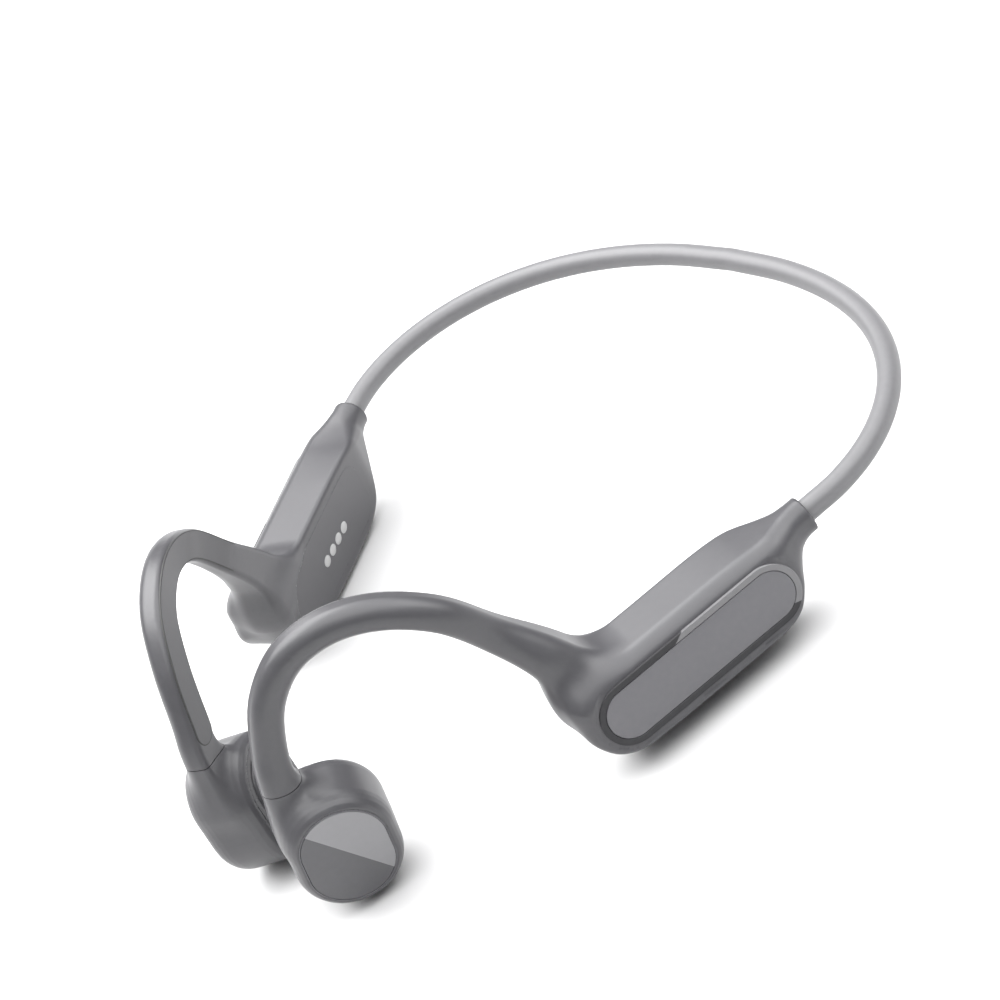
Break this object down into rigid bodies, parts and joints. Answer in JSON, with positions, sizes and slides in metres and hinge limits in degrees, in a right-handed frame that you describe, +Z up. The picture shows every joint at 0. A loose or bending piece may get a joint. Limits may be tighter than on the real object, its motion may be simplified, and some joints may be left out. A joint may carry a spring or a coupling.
{
  "type": "bone conduction headphones",
  "caption": "Bone conduction headphones: sprung rear neckband joining slim pods, open ear hooks and rounded transducer heads with skin pads.",
  "frame": {"origin": "bottom centre of the bounding box, on the surface that the pods and transducer heads stand on", "axes": "+Z up, +X the wearer's left, -Y the wearer's front, with the neckband's arc at the +Y end"},
  "size_m": [0.1158, 0.1322, 0.0471],
  "materials": {
    "housing": "satin warm grey coated shell",
    "panel": "smooth semi-gloss grey face",
    "trim": "dark satin bevelled ring",
    "inlay": "soft-touch grey silicone strip",
    "sleeve": "light grey satin silicone",
    "pad": "soft-touch grey skin pad",
    "surround": "dark flexible ring",
    "spring_wire": "bare nickel titanium wire",
    "cable": "thin insulated lead bundle",
    "steel": "pressed steel",
    "plated_magnet": "nickel plated magnet",
    "copper": "enamelled copper winding",
    "contact_metal": "bright satin plated contact",
    "battery_foil": "pouch cell foil",
    "circuit_board": "green solder mask",
    "dark_plastic": "black moulded part"
  },
  "bodies": {
    "left_side": {"neckband_sleeve": "sleeve", "neckband_core": "spring_wire", "neckband_cable": "cable", "left_housing": "housing", "left_pod_cover": "housing", "left_control_panel": "panel", "left_panel_trim": "trim", "left_hook_inlay": "inlay", "left_hook_core": "spring_wire", "left_hook_cable": "cable", "left_head_housing": "housing", "left_pad_surround": "surround", "left_yoke": "steel", "left_magnet": "plated_magnet", "left_spring_plate": "steel", "battery_cell": "battery_foil", "battery_board": "circuit_board", "cap_switch": "dark_plastic"},
    "left_cap": {"left_head_cap": "panel"},
    "left_vibrator": {"left_skin_pad": "pad", "left_voice_coil": "copper"},
    "right_side": {"right_housing": "housing", "right_pod_cover": "housing", "right_control_panel": "panel", "right_panel_trim": "trim", "right_hook_inlay": "inlay", "right_hook_core": "spring_wire", "right_hook_cable": "cable", "right_head_housing": "housing", "right_pad_surround": "surround", "right_yoke": "steel", "right_magnet": "plated_magnet", "right_spring_plate": "steel", "right_head_cap": "panel", "main_board": "circuit_board", "bluetooth_module": "dark_plastic", "microphone": "contact_metal", "charging_contact_1": "contact_metal", "charging_contact_2": "contact_metal", "charging_contact_3": "contact_metal", "charging_contact_4": "contact_metal", "charging_magnet_1": "plated_magnet", "charging_magnet_2": "plated_magnet"},
    "right_vibrator": {"right_skin_pad": "pad", "right_voice_coil": "copper"},
    "volume_up": {"volume_up_key": "housing"},
    "volume_down": {"volume_down_key": "housing"}
  },
  "joints": [
    {"name": "band_flex", "type": "hinge", "parent": "left_side", "child": "right_side", "pos_m": [0, 0.06418, 0.0115], "axis": [0, -0.0366, -0.9993], "range_deg": [-0.5, 70], "stiffness_Nm_per_rad": 0.08, "deforming": ["neckband_sleeve", "neckband_core", "neckband_cable"]},
    {"name": "left_cap_press", "type": "slide", "parent": "left_side", "child": "left_cap", "axis": [-0.8451, 0.5324, 0.0485], "range_m": [0, 0.00035], "stiffness_N_per_m": 500},
    {"name": "left_pad_vibration", "type": "slide", "parent": "left_side", "child": "left_vibrator", "axis": [-0.8451, 0.5324, 0.0485], "range_m": [-0.00015, 0.00015], "stiffness_N_per_m": 400},
    {"name": "right_pad_vibration", "type": "slide", "parent": "right_side", "child": "right_vibrator", "axis": [0.8451, 0.5324, 0.0485], "range_m": [-0.00015, 0.00015], "stiffness_N_per_m": 400},
    {"name": "volume_up_press", "type": "slide", "parent": "right_side", "child": "volume_up", "axis": [0.1724, 0.062, 0.9831], "range_m": [0, 0.00035], "stiffness_N_per_m": 300},
    {"name": "volume_down_press", "type": "slide", "parent": "right_side", "child": "volume_down", "axis": [0.1724, 0.062, 0.9831], "range_m": [0, 0.00035], "stiffness_N_per_m": 300}
  ]
}
